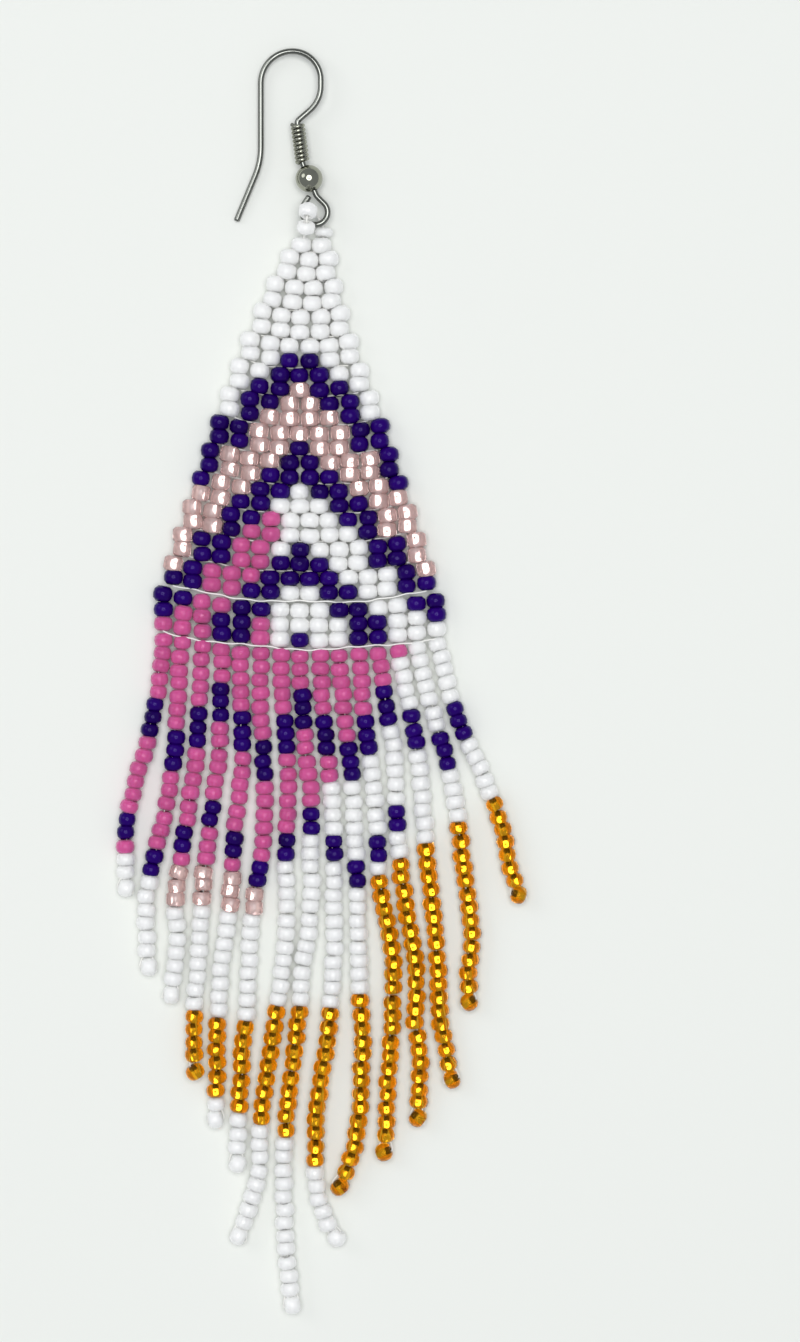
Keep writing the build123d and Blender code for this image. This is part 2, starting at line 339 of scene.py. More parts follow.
class EarringStage(bpy.types.PropertyGroup):
    """Floor, light and camera"""
    floor: colour("Floor", "#E7E9E4", "Pale board under the earring")
    aim_x: length("Aim right", 8.52, "Picture centre to the right of the origin")
    aim_y: length("Aim up", 1.14, "Picture centre above the origin")
    frame_height: length("Frame height", 147.6, "Height of the picture on the table")
    camera_height: length("Camera height", 450.0, "Camera above the table")
    card: colour("Card", "#141414", "Card that shades the middle of the overhead light")
    card_size: length("Card size", 130.0, "Width of the card")
    card_height: length("Card height", 600.0, "Card above the table, over the camera")
    room: colour("Room", "#E9EDF2", "Light that the room gives from all sides")
    room_strength: bpy.props.FloatProperty(
        name="Room strength", default=0.46, min=0.0, max=5.0,
        description="Strength of the light that the room gives",
    )


# Materials


def new_material(name):
    """A new material with an empty node tree."""
    material = bpy.data.materials.new(name)
    material.use_nodes = True
    material.node_tree.nodes.clear()
    return material, material.node_tree


def darker(base, share):
    """A colour with only a share of its strength left."""
    return (*(c * share for c in base[:3]), 1.0)


def opaque_glass(name, base, dark_share, roughness, glow, gloss):
    """Opaque seed bead glass: drawn tube, cut and fire-polished.

    The melt differs a little from bead to bead and in clouds about 1.7 mm apart, down to
    dark_share of its colour. The polish leaves a soft gloss with faint ripples about half
    a millimetre apart. Light that enters the glass glows on in it as far as its glow
    length, and the glow gives it a milky sheen. Its highlights take on half its colour.
    """
    material, tree = new_material(name)
    tone = add_node(tree, "ShaderNodeAttribute", attribute_name="tone")
    place = add_node(tree, "ShaderNodeTexCoord")
    ripple = add_node(
        tree, "ShaderNodeTexNoise",
        {"Vector": place.outputs["Object"], "Scale": 1.0 / (0.5 * MM), "Detail": 2.0},
    )
    cloud = add_node(
        tree, "ShaderNodeTexNoise",
        {"Vector": place.outputs["Object"], "Scale": 0.6 / MM, "Detail": 1.0},
    )
    share = add_node(
        tree, "ShaderNodeMath", {0: tone.outputs["Fac"], 1: cloud.outputs["Fac"]},
        operation="MULTIPLY",
    )
    melt = add_node(
        tree, "ShaderNodeMix",
        {"Factor": share.outputs[0], 6: base, 7: darker(base, dark_share)},
        data_type="RGBA",
    )
    bump = add_node(
        tree, "ShaderNodeBump",
        {"Height": ripple.outputs["Fac"], "Strength": 0.25, "Distance": 0.02 * MM},
    )
    strongest = max(base[:3])
    gleam = (*(0.5 + 0.5 * c / strongest for c in base[:3]), 1.0)
    shader = add_node(
        tree, "ShaderNodeBsdfPrincipled",
        {"Base Color": melt.outputs[2], "Roughness": roughness, "IOR": 1.52,
         "Normal": bump.outputs["Normal"], "Subsurface Weight": 1.0 if glow else 0.0,
         "Subsurface Scale": glow, "Subsurface Radius": (1.0, 1.0, 1.0),
         "Specular IOR Level": gloss, "Specular Tint": gleam,
         "Sheen Weight": GLOW_SHEEN * glow},
    )
    add_node(tree, "ShaderNodeOutputMaterial", {"Surface": shader.outputs["BSDF"]})
    return material


def clear_glass(name, base, clearness, tint):
    """Tinted glass of a lined bead: drawn tube, fire-polished, with fine striae in its
    surface, a faint milkiness that gives its sides their own colour, and a tinted gleam.
    """
    material, tree = new_material(name)
    place = add_node(tree, "ShaderNodeTexCoord")
    striae = add_node(
        tree, "ShaderNodeTexNoise",
        {"Vector": place.outputs["Object"], "Scale": 1.0 / (0.5 * MM), "Detail": 1.0},
    )
    bump = add_node(
        tree, "ShaderNodeBump",
        {"Height": striae.outputs["Fac"], "Strength": 0.2, "Distance": 0.03 * MM},
    )
    shader = add_node(
        tree, "ShaderNodeBsdfPrincipled",
        {"Base Color": base, "Roughness": 0.04, "IOR": 1.5, "Specular Tint": tint,
         "Normal": bump.outputs["Normal"], "Transmission Weight": clearness},
    )
    add_node(tree, "ShaderNodeOutputMaterial", {"Surface": shader.outputs["BSDF"]})
    return material


def silver_lining(name, base, mouth_shade_colour, mouth):
    """Silvered wall of a square drawn hole: thin bright metal, a little mottled. Over the
    mouth's share of the hole it is painted dull and dark, a painted shade for the hole's dark
    end.
    """
    material, tree = new_material(name)
    place = add_node(tree, "ShaderNodeTexCoord")
    mottle = add_node(
        tree, "ShaderNodeTexNoise",
        {"Vector": place.outputs["Object"], "Scale": 1.0 / (0.4 * MM), "Detail": 1.0},
    )
    rough = add_node(
        tree, "ShaderNodeMapRange",
        {"Value": mottle.outputs["Fac"], "To Min": 0.06, "To Max": 0.2},
    )
    along = add_node(tree, "ShaderNodeAttribute", attribute_name="along")
    # Painted shade: over the mouth's share of the hole the silver gives way to the dark mouth
    # colour
    shaded = add_node(
        tree, "ShaderNodeMapRange",
        {"Value": along.outputs["Fac"], "From Min": mouth, "From Max": mouth + 0.08,
         "To Min": 1.0, "To Max": 0.0},
    )
    silver = add_node(
        tree, "ShaderNodeMix", {"Factor": shaded.outputs["Result"], 6: base, 7: mouth_shade_colour},
        data_type="RGBA",
    )
    shader = add_node(
        tree, "ShaderNodeBsdfPrincipled",
        {"Base Color": silver.outputs[2], "Metallic": 1.0,
         "Roughness": rough.outputs["Result"]},
    )
    add_node(tree, "ShaderNodeOutputMaterial", {"Surface": shader.outputs["BSDF"]})
    return material


def nylon_thread(name, base):
    """Twisted nylon beading thread: its plies turn about every 0.4 mm and give a soft
    silky sheen."""
    material, tree = new_material(name)
    place = add_node(tree, "ShaderNodeTexCoord")
    twist = add_node(
        tree, "ShaderNodeTexWave",
        {"Vector": place.outputs["Object"], "Scale": 1.0 / (0.4 * MM * math.tau),
         "Distortion": 1.5},
        bands_direction="DIAGONAL",
    )
    bump = add_node(
        tree, "ShaderNodeBump",
        {"Height": twist.outputs["Fac"], "Strength": 0.5, "Distance": 0.03 * MM},
    )
    shader = add_node(
        tree, "ShaderNodeBsdfPrincipled",
        {"Base Color": base, "Roughness": 0.55, "Sheen Weight": 0.3,
         "Normal": bump.outputs["Normal"]},
    )
    add_node(tree, "ShaderNodeOutputMaterial", {"Surface": shader.outputs["BSDF"]})
    return material


def polished_steel(name, base, low, high):
    """Drawn and tumbled steel: bright, with darker rubbed spots between a low and a high
    roughness, and a slightly uneven surface, so that its reflections waver."""
    material, tree = new_material(name)
    place = add_node(tree, "ShaderNodeTexCoord")
    rubbed = add_node(
        tree, "ShaderNodeTexNoise",
        {"Vector": place.outputs["Object"], "Scale": 1.0 / (1.2 * MM), "Detail": 3.0},
    )
    rough = add_node(
        tree, "ShaderNodeMapRange",
        {"Value": rubbed.outputs["Fac"], "To Min": low, "To Max": high},
    )
    steel = add_node(
        tree, "ShaderNodeMix",
        {"Factor": rubbed.outputs["Fac"], 6: base, 7: darker(base, 0.7)},
        data_type="RGBA",
    )
    bump = add_node(
        tree, "ShaderNodeBump",
        {"Height": rubbed.outputs["Fac"], "Strength": 0.12, "Distance": 0.12 * MM},
    )
    shader = add_node(
        tree, "ShaderNodeBsdfPrincipled",
        {"Base Color": steel.outputs[2], "Metallic": 1.0,
         "Roughness": rough.outputs["Result"], "Normal": bump.outputs["Normal"]},
    )
    add_node(tree, "ShaderNodeOutputMaterial", {"Surface": shader.outputs["BSDF"]})
    return material


def paper_board(name, base):
    """Matt paper board: pressed fibres about 0.8 mm apart leave it faintly uneven."""
    material, tree = new_material(name)
    place = add_node(tree, "ShaderNodeTexCoord")
    fibres = add_node(
        tree, "ShaderNodeTexNoise",
        {"Vector": place.outputs["Object"], "Scale": 1.0 / (0.8 * MM), "Detail": 4.0},
    )
    bump = add_node(
        tree, "ShaderNodeBump",
        {"Height": fibres.outputs["Fac"], "Strength": 0.1, "Distance": 0.02 * MM},
    )
    shader = add_node(
        tree, "ShaderNodeBsdfPrincipled",
        {"Base Color": base, "Roughness": 0.7, "Normal": bump.outputs["Normal"]},
    )
    add_node(tree, "ShaderNodeOutputMaterial", {"Surface": shader.outputs["BSDF"]})
    return material


def black_card(name, base):
    """Matt black card, which only keeps light back and isn't seen."""
    material, tree = new_material(name)
    shader = add_node(
        tree, "ShaderNodeBsdfPrincipled", {"Base Color": base, "Roughness": 0.9}
    )
    add_node(tree, "ShaderNodeOutputMaterial", {"Surface": shader.outputs["BSDF"]})
    return material


def bead_finishes(tones):
    """The glass of each kind of bead, and the lining of the two clear kinds."""
    # Painted shade for the dark mouths of the silver-lined holes
    shaded = tuple(tones.painted_mouth_shade)
    return [
        (opaque_glass("opaque white glass", tuple(tones.white), dark_share=0.96,
                      roughness=0.16, glow=1.2 * MM, gloss=0.4), None),
        (opaque_glass("opaque rose glass", tuple(tones.rose), dark_share=0.75,
                      roughness=0.15, glow=0.25 * MM, gloss=0.35), None),
        (opaque_glass("opaque violet glass", tuple(tones.violet), dark_share=0.25,
                      roughness=0.12, glow=0.0, gloss=0.18), None),
        (clear_glass("clear blush glass", tuple(tones.blush), clearness=0.7,
                     tint=linear("#FFFFFF")),
         silver_lining("silvered blush hole", tuple(tones.blush_lining), shaded, mouth=0.02)),
        (clear_glass("clear amber glass", tuple(tones.amber), clearness=0.93,
                     tint=tuple(tones.amber)),
         silver_lining("silvered amber hole", tuple(tones.amber_lining), shaded, mouth=0.38)),
    ]


def thread_finish(context):
    """The thread's material, made once."""
    name = "twisted nylon thread"
    made = bpy.data.materials.get(name)
    return made or nylon_thread(name, tuple(context.scene.earring_colours.thread))


# Beads


def ring_mesh(name, outline, sides, sizes, hole, square):
    """A seed bead round the Z axis: a turned outline, and a round or square hole.

    A square hole has a point of every ring at each of its corners, and is turned a
    little, so that its wall shows as one wide and one narrow face.
    """
    first_corner = math.tau / 8
    start = first_corner % (math.tau / sides)
    turn = Matrix.Rotation(sizes.lining_turn if square else 0.0, 3, "Z")
    form = bmesh.new()
    lining = form.faces.layers.bool.new("lining")
    place = form.verts.layers.float.new("along")
    rings = []
    for along, out in outline:
        ring = []
        for side in range(sides):
            angle = start + math.tau * side / sides
            around = Vector((math.cos(angle), math.sin(angle), 0))
            reach = sizes.diameter / 2 * out if out else hole / 2
            if square and not out:
                reach /= max(abs(around.x), abs(around.y))
            point = turn @ around * reach + Vector((0, 0, along * sizes.height))
            vertex = form.verts.new(point)
            vertex[place] = along + 0.5
            ring.append(vertex)
        rings.append(ring)
    for ring, after in zip(rings, rings[1:] + rings[:1]):
        inner = after is rings[0]
        for side in range(sides):
            other = (side + 1) % sides
            face = form.faces.new((ring[side], ring[other], after[other], after[side]))
            face.smooth = not inner
            face[lining] = inner
    bmesh.ops.recalc_face_normals(form, faces=form.faces)
    mesh = bpy.data.meshes.new(name)
    form.to_mesh(mesh)
    form.free()
    return mesh


def bead_tree(beads, finishes):
    """Node tree that threads beads on points: each kind of bead on the points that ask
    for it, turned to the thread, with small differences between the beads."""
    tree = bpy.data.node_groups.new("Threaded beads", "GeometryNodeTree")
    face = tree.interface
    face.new_socket("Geometry", in_out="INPUT", socket_type="NodeSocketGeometry")
    for name in ("Width", "Size spread", "Tilt spread", "Place spread"):
        face.new_socket(name, in_out="INPUT", socket_type="NodeSocketFloat")
    face.new_socket("Seed", in_out="INPUT", socket_type="NodeSocketInt")
    face.new_socket("Geometry", in_out="OUTPUT", socket_type="NodeSocketGeometry")
    given = add_node(tree, "NodeGroupInput").outputs

    def draws(offset, spread):
        """Three random shares from -1 to 1 times a spread, one set for each bead."""
        seed = add_node(
            tree, "ShaderNodeMath", {0: given["Seed"], 1: float(offset)}, operation="ADD"
        )
        shares = add_node(
            tree, "FunctionNodeRandomValue",
            {0: (-1.0, -1.0, -1.0), 1: (1.0, 1.0, 1.0), "Seed": seed.outputs[0]},
            data_type="FLOAT_VECTOR",
        )
        scaled = add_node(
            tree, "ShaderNodeVectorMath", {0: shares.outputs[0], "Scale": spread},
            operation="SCALE",
        )
        return scaled.outputs[0]

    level = add_node(
        tree, "ShaderNodeVectorMath",
        {0: draws(1, given["Place spread"]), 1: (1.0, 1.0, LIFT_OVER_SHIFT)},
        operation="MULTIPLY",
    )
    shifted = add_node(
        tree, "GeometryNodeSetPosition",
        {"Geometry": given["Geometry"], "Offset": level.outputs[0]},
    )
    way = add_node(
        tree, "GeometryNodeInputNamedAttribute", {"Name": "way"}, data_type="FLOAT_VECTOR"
    )
    kind = add_node(tree, "GeometryNodeInputNamedAttribute", {"Name": "kind"}, data_type="INT")
    height = add_node(
        tree, "GeometryNodeInputNamedAttribute", {"Name": "height_share"}, data_type="FLOAT"
    )
    along = add_node(
        tree, "FunctionNodeAlignRotationToVector", {"Vector": way.outputs[0]}, axis="Z"
    )
    tilt = add_node(
        tree, "FunctionNodeEulerToRotation", {"Euler": draws(2, given["Tilt spread"])}
    )
    turned = add_node(
        tree, "FunctionNodeRotateRotation",
        {"Rotation": along.outputs[0], "Rotate By": tilt.outputs[0]},
        rotation_space="LOCAL",
    )
    sizes = add_node(tree, "ShaderNodeSeparateXYZ", {0: draws(3, given["Size spread"])})
    wide = add_node(
        tree, "ShaderNodeMath", {0: sizes.outputs[0], 1: given["Width"]}, operation="ADD"
    )
    high = add_node(
        tree, "ShaderNodeMath", {0: sizes.outputs[1], 1: height.outputs[0]}, operation="ADD"
    )
    scale = add_node(
        tree, "ShaderNodeCombineXYZ",
        {0: wide.outputs[0], 1: wide.outputs[0], 2: high.outputs[0]},
    )
    tones = add_node(tree, "ShaderNodeSeparateXYZ", {0: draws(4, 0.5)})
    tone = add_node(tree, "ShaderNodeMath", {0: tones.outputs[0], 1: 0.5}, operation="ADD")
    lined = add_node(
        tree, "GeometryNodeInputNamedAttribute", {"Name": "lining"}, data_type="BOOLEAN"
    )
    together = add_node(tree, "GeometryNodeJoinGeometry")
    for number, (bead, (surface, lining)) in enumerate(zip(beads, finishes)):
        asked = add_node(
            tree, "FunctionNodeCompare", {2: kind.outputs[0], 3: number},
            data_type="INT", operation="EQUAL",
        )
        shape = add_node(tree, "GeometryNodeObjectInfo", {"Object": bead})
        threaded = add_node(
            tree, "GeometryNodeInstanceOnPoints",
            {"Points": shifted.outputs[0], "Selection": asked.outputs[0],
             "Instance": shape.outputs["Geometry"], "Rotation": turned.outputs[0],
             "Scale": scale.outputs[0]},
        )
        toned = add_node(
            tree, "GeometryNodeStoreNamedAttribute",
            {"Geometry": threaded.outputs[0], "Name": "tone", "Value": tone.outputs[0]},
            data_type="FLOAT", domain="INSTANCE",
        )
        real = add_node(
            tree, "GeometryNodeRealizeInstances", {"Geometry": toned.outputs[0]}
        )
        finished = add_node(
            tree, "GeometryNodeSetMaterial",
            {"Geometry": real.outputs[0], "Material": surface},
        )
        if lining:
            finished = add_node(
                tree, "GeometryNodeSetMaterial",
                {"Geometry": finished.outputs[0], "Selection": lined.outputs[0],
                 "Material": lining},
            )
        tree.links.new(finished.outputs[0], together.inputs[0])
    add_node(tree, "NodeGroupOutput", {"Geometry": together.outputs[0]})
    return tree


def bead_kit(context):
    """The bead shapes and the node tree that threads them, made once."""
    name = "Threaded beads"
    if name not in bpy.data.node_groups:
        sizes = context.scene.earring_beads
        forms = (
            (ROUND_OUTLINE, ROUND_SIDES, sizes, sizes.hole, False),
            (BARREL_OUTLINE, BARREL_SIDES, sizes, sizes.lining, True),
            (LOBE_OUTLINE, LOBE_SIDES, sizes, sizes.slim_lining, True),
        )
        opaque, blush, amber = (
            bpy.data.objects.new(label, ring_mesh(label, *form))
            for label, form in zip(BEAD_SHAPES, forms)
        )
        finishes = bead_finishes(context.scene.earring_colours)
        bead_tree([opaque, opaque, opaque, blush, amber], finishes)
    return bpy.data.node_groups[name]


def thread_beads(context, name, beads, seed, loose=1.0, width=None):
    """A plain mesh of beads, from (centre, way, kind, share of the full height).

    loose is how much more than usual the beads shift and tilt. The beads have the usual
    diameter unless a width is given.
    """
    tree = bead_kit(context)
    sizes = context.scene.earring_beads
    width = width or sizes.diameter
    mesh = bpy.data.meshes.new(name + "_places")
    mesh.from_pydata([centre for centre, *_ in beads], [], [])
    ways = mesh.attributes.new("way", "FLOAT_VECTOR", "POINT")
    ways.data.foreach_set("vector", [part for bead in beads for part in bead[1].normalized()])
    kinds = mesh.attributes.new("kind", "INT", "POINT")
    kinds.data.foreach_set("value", [bead[2] for bead in beads])
    shares = mesh.attributes.new("height_share", "FLOAT", "POINT")
    shares.data.foreach_set("value", [bead[3] for bead in beads])
    places = bpy.data.objects.new(name + "_places", mesh)
    context.scene.collection.objects.link(places)
    modifier = places.modifiers.new("Beads", "NODES")
    modifier.node_group = tree
    values = {
        "Width": width / sizes.diameter,
        "Size spread": sizes.size_spread,
        "Tilt spread": sizes.tilt_spread * loose,
        "Place spread": sizes.place_spread * loose,
        "Seed": sizes.seed * 100 + seed,
    }
    for socket in tree.interface.items_tree:
        if socket.in_out == "INPUT" and socket.name in values:
            modifier[socket.identifier] = values[socket.name]
    shapes = [bpy.data.objects[label] for label in BEAD_SHAPES]
    for shape in shapes:
        context.scene.collection.objects.link(shape)
    plain = plain_mesh(context, places, name)
    bpy.data.objects.remove(places)
    for shape in shapes:
        context.scene.collection.objects.unlink(shape)
    return plain


def plain_mesh(context, source, name):
    """The evaluated form of an object as a new object with a plain mesh."""
    context.view_layer.update()
    depsgraph = context.evaluated_depsgraph_get()
    mesh = bpy.data.meshes.new_from_object(source.evaluated_get(depsgraph))
    mesh.name = name
    piece = bpy.data.objects.new(name, mesh)
    context.scene.collection.objects.link(piece)
    return piece


# Routes


def smooth_curve(name, routes, steps):
    """A curve with an order 3 spline for each route: the route's points are its controls,
    and it is drawn in some steps from control to control."""
    curve = bpy.data.curves.new(name, "CURVE")
    curve.dimensions = "3D"
    for points in routes:
        spline = curve.splines.new("NURBS")
        spline.points.add(len(points) - 1)
        for control, point in zip(spline.points, points):
            control.co = (*point, 1.0)
        spline.order_u = 3
        spline.use_endpoint_u = True
        spline.resolution_u = steps
    return curve


def smooth_points(context, points):
    """Points along the smooth curve that takes the given points as its controls."""
    route = bpy.data.objects.new("route", smooth_curve("route", [points], BEAD_STEPS))
    context.scene.collection.objects.link(route)
    context.view_layer.update()
    depsgraph = context.evaluated_depsgraph_get()
    mesh = bpy.data.meshes.new_from_object(route.evaluated_get(depsgraph))
    sampled = [vertex.co.copy() for vertex in mesh.vertices]
    bpy.data.objects.remove(route)
    bpy.data.meshes.remove(mesh)
    return sampled


def route_length(points):
    """Length of the line through the points."""
    return sum((b - a).length for a, b in zip(points, points[1:]))


def point_on(points, distance):
    """The place at a distance along the points, and the way that the line runs there."""
    gone = 0.0
    for before, after in zip(points, points[1:]):
        run = (after - before).length
        if gone + run >= distance and run > 0:
            return before.lerp(after, (distance - gone) / run), (after - before) / run
        gone += run
    way = (points[-1] - points[-2]).normalized()
    return points[-1] + way * (distance - gone), way


def thread_tube(context, name, routes, diameter):
    """A mesh of round thread along smooth routes."""
    curve = smooth_curve(name, routes, THREAD_STEPS)
    curve.bevel_depth = diameter / 2
    curve.bevel_resolution = 2
    curve.use_fill_caps = True
    source = bpy.data.objects.new(name + "_route", curve)
    context.scene.collection.objects.link(source)
    piece = plain_mesh(context, source, name)
    bpy.data.objects.remove(source)
    piece.data.materials.clear()
    piece.data.materials.append(thread_finish(context))
    for polygon in piece.data.polygons:
        polygon.use_smooth = True
    return piece


# Layout of the panel, in millimetres


def row_middle(form, height):
    """Middle of the panel at a height: the top of the panel leans to the right."""
    lean_share = max(0.0, 1 + (height + form.drop / MM) / (form.lean_length / MM))
    return (form.shift + form.lean * lean_share**2) / MM


def row_spread(form, columns):
    """Share by which a row is wider than its pitch: the middle rows lie looser."""
    share = (columns - LOOSE_COLUMNS[0]) / (LOOSE_COLUMNS[1] - LOOSE_COLUMNS[0])
    return 1 + form.looseness * max(0.0, math.sin(math.pi * min(1.0, max(0.0, share))))


def row_rise(form, sizes, columns, across):
    """Rise of a row above its middle, at a distance across from the middle."""
    bend = math.sqrt((columns - FLAT_COLUMNS) / (BASE_COLUMNS - FLAT_COLUMNS))
    half_width = ((columns - 1) * sizes.column_pitch + sizes.diameter) / 2 / MM
    share = across / half_width
    return bend * (form.sag * share**2 - form.tilt * share) / MM


def panel_rows(form, sizes):
    """(columns, height of the beads' centres) of each row, from the top down."""
    pitch = sizes.row_pitch / MM
    height = -form.drop / MM + pitch / 2
    row_counts = {TOP_COLUMNS: TOP_ROWS, BASE_COLUMNS: BASE_ROWS}
    rows = []
    for columns in range(TOP_COLUMNS, BASE_COLUMNS + 1):
        if columns == BASE_COLUMNS:
            height -= form.thread_line / MM
        for _ in range(row_counts.get(columns, STEP_ROWS)):
            height -= pitch
            rows.append((columns, height))
    return rows


def panel_foot(form, sizes):
    """Height of the lower edge of the base row at its middle."""
    return panel_rows(form, sizes)[-1][1] - sizes.row_pitch / MM / 2


# Colours of the beadwork: chevrons on fields, worked out from each bead's place


def panel_kind(row, across):
    """Kind of the panel bead at a row and a number of columns from the middle."""
    depth = row - CHEVRON_SLOPE * abs(across)
    if depth >= CHEVRON_TOP and (depth - CHEVRON_TOP) % CHEVRON_REPEAT < CHEVRON_THICK:
        return VIOLET
    if depth < CHEVRON_TOP:
        return WHITE
    if depth < CHEVRON_TOP + CHEVRON_REPEAT:
        return BLUSH
    return ROSE if across < ROSE_EDGE else WHITE


def zigzag(strand):
    """0, 1, 2, 1, 0 ... outwards from the middle strand."""
    return 2 - abs(abs(strand - MIDDLE_STRAND) % 4 - 2)


def fringe_kind(strand, place, count):
    """Kind of a bead at a place from the top of a strand."""
    lower = DASH_STEP * zigzag(strand)
    for start, size, last_strand in DASHES:
        if strand <= last_strand and start + lower <= place < start + lower + size:
            return VIOLET
    rose_end = ROSE_END - ROSE_FALL * max(0, strand - ROSE_LEVEL_STRANDS)
    if place < rose_end:
        return ROSE
    if strand in BLUSH_STRANDS and place < rose_end + BLUSH_BEADS:
        return BLUSH
    if strand < AMBER_STRAND:
        return WHITE
    amber_start = AMBER_START - AMBER_LIFT * (strand - AMBER_STRAND)
    if strand >= HIGH_AMBER_STRAND:
        amber_start = HIGH_AMBER_START - HIGH_AMBER_LIFT * (strand - HIGH_AMBER_STRAND)
    amber_end = AMBER_END + AMBER_DROP * (strand - AMBER_STRAND)
    if strand >= AMBER_TIP_STRAND:
        amber_end = count
    return AMBER if amber_start <= place < amber_end else WHITE


# Operators


def keep(piece, slot, *nodes):
    """Lets a piece ride on the earring in place of the nodes. Its slot is not used."""
    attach(piece, BODY)
    if nodes:
        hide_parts(*nodes)


class EARRING_OT_hook(bpy.types.Operator):
    """Give the ear wire, its coil and its ball their polished steel"""
    bl_idname = "earring.hook"
    bl_label = "Polish Ear Wire"

    def execute(self, context):
        tones = context.scene.earring_colours
        wire = polished_steel("drawn steel wire", tuple(tones.wire), low=0.03, high=0.12)
        ball = polished_steel("tumbled steel", tuple(tones.ball), low=0.05, high=0.14)
        for node, finish in (("ear_hook", wire), ("hook_coil", ball), ("hook_ball", ball)):
            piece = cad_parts[node]
            piece.data.materials.clear()
            piece.data.materials.append(finish)
        return {"FINISHED"}


class EARRING_OT_loop(bpy.types.Operator):
    """Thread the three beads of the loop through the eye of the ear wire"""
    bl_idname = "earring.loop"
    bl_label = "Thread Loop"

    def execute(self, context):
        sizes = context.scene.earring_beads
        form = context.scene.earring_panel
        beads = []
        ends = []
        for centre, way, height in LOOP_BEADS:
            way = Vector(way).normalized()
            middle = placed(*centre)
            half = way * height * MM / 2
            beads.append((middle, way, WHITE, height * MM / sizes.height))
            ends.append((middle - half, middle + half))
        feet = []
        columns, height = panel_rows(form, sizes)[0]
        for side in (-1, 1):
            x = row_middle(form, height) + side * sizes.column_pitch / MM / 2
            feet.append(placed(x, height, sizes.diameter / MM / 2))
        route = [feet[0], *ends[0], *ends[1]]
        route += [placed(*point) for point in LOOP_CROSSING]
        route += [*ends[2], feet[1]]
        keep(thread_beads(context, "loop_beads", beads, 1, 0.0), SLOTS[WHITE], "bead_loop")
        diameter = context.scene.earring_threads.loop
        thread = thread_tube(context, "loop_thread", [route], diameter)
        keep(thread, "white_thread")
        return {"FINISHED"}


class EARRING_OT_panel(bpy.types.Operator):
    """Stitch the stepped panel of bead rows"""
    bl_idname = "earring.panel"
    bl_label = "Stitch Panel"

    def execute(self, context):
        sizes = context.scene.earring_beads
        form = context.scene.earring_panel
        beads = []
        over_table = (sizes.panel_width / 2 + sizes.rise) / MM
        for row, (columns, height) in enumerate(panel_rows(form, sizes)):
            middle = row_middle(form, height)
            for place in range(columns):
                across = place - (columns - 1) / 2
                x = across * sizes.column_pitch / MM * row_spread(form, columns)
                rise = row_rise(form, sizes, columns, x)
                lean = row_rise(form, sizes, columns, x + LEAN_REACH) - rise
                centre = placed(middle + x, height + rise, over_table)
                kind = panel_kind(row, across)
                beads.append((centre, Vector((-lean, 1, 0)), kind, 1.0))
        panel = thread_beads(context, "panel_beads", beads, 2, width=sizes.panel_width)
        keep(panel, SLOTS[WHITE], "bead_panel")
        return {"FINISHED"}


class EARRING_OT_fringe(bpy.types.Operator):
    """Thread the beads of the fifteen strands, with a turned bead at each tip"""
    bl_idname = "earring.fringe"
    bl_label = "Thread Fringe"

    def execute(self, context):
        sizes = context.scene.earring_beads
        form = context.scene.earring_panel
        radius = sizes.diameter / 2
        foot = panel_foot(form, sizes)
        threads = []
        for strand, steps in enumerate(STRAND_ROUTES, start=1):
            x = (strand - MIDDLE_STRAND) * sizes.column_pitch / MM
            top = placed(
                row_middle(form, foot) + x,
                foot + row_rise(form, sizes, BASE_COLUMNS, x) - STRAND_GAP,
                (radius + sizes.rise) / MM,
            )
            controls = [top] + [top + Vector((*step, 0)) * MM for step in steps]
            route = smooth_points(context, controls)
            reach = route_length(route) - 2 * radius
            count = round(reach / sizes.pitch)
            pitch = reach / count
            beads = []
            for place in range(count):
                centre, way = point_on(route, (place + 0.5) * pitch)
                kind = fringe_kind(strand, place, count)
                beads.append((centre, way, kind, pitch / sizes.height * STRAND_OVERLAP))
            tip, way = point_on(route, reach + radius)
            turn = Matrix.Rotation(math.radians(TIP_TURNS[strand - 1]), 3, "Z")
            tip_way = turn @ way
            beads.append((tip, tip_way, kind, 1.0))
            name = f"strand_beads_{strand:02d}"
            kinds = [bead[2] for bead in beads]
            common = max(set(kinds), key=kinds.count)
            piece = thread_beads(context, name, beads, 10 + strand, STRAND_LOOSENESS)
            keep(piece, SLOTS[common], f"fringe_strand_{strand:02d}")
            thread = [point_on(route, share * reach)[0] for share in THREAD_STOPS]
            for along, out in TIP_STITCH:
                thread.append(tip + tip_way * sizes.height * along + way * radius * out)
            thread.append(thread[len(THREAD_STOPS) - 1])
            threads.append(thread)
        diameter = context.scene.earring_threads.strand
        keep(thread_tube(context, "strand_threads", threads, diameter), "white_thread")
        return {"FINISHED"}


class EARRING_OT_threads(bpy.types.Operator):
    """Lay the threads that hold the rows of the panel"""
    bl_idname = "earring.threads"
    bl_label = "Lay Threads"

    def execute(self, context):
        sizes = context.scene.earring_beads
        form = context.scene.earring_panel
        threads = context.scene.earring_threads
        rows = panel_rows(form, sizes)
        pitch = sizes.row_pitch / MM
        radius = sizes.diameter / MM / 2
        wave = threads.wave / MM
        lines = []
        for number, (columns, height) in enumerate(rows):
            last = number == len(rows) - 1
            following = BASE_COLUMNS if last else rows[number + 1][0]
            if columns == following and not last:
                continue
            shown = following == BASE_COLUMNS
            gap = form.thread_line / MM if shown else 0.0
            edge = height - pitch / 2 - gap / 2
            lie = SHOWN_LIE if shown else HIDDEN_LIE
            line = []
            for step in range(2 * columns - 1):
                x = (step - (columns - 1)) * sizes.column_pitch / MM / 2
                y = edge + row_rise(form, sizes, columns, x)
                for by_step, by_row in WAVES:
                    y += wave * math.sin(by_step * step + by_row * number)
                z = radius * lie[step % 2]
                line.append(placed(row_middle(form, edge) + x, y, z))
            lines.append(line)
        keep(thread_tube(context, "panel_threads", lines, threads.panel), "white_thread")
        return {"FINISHED"}


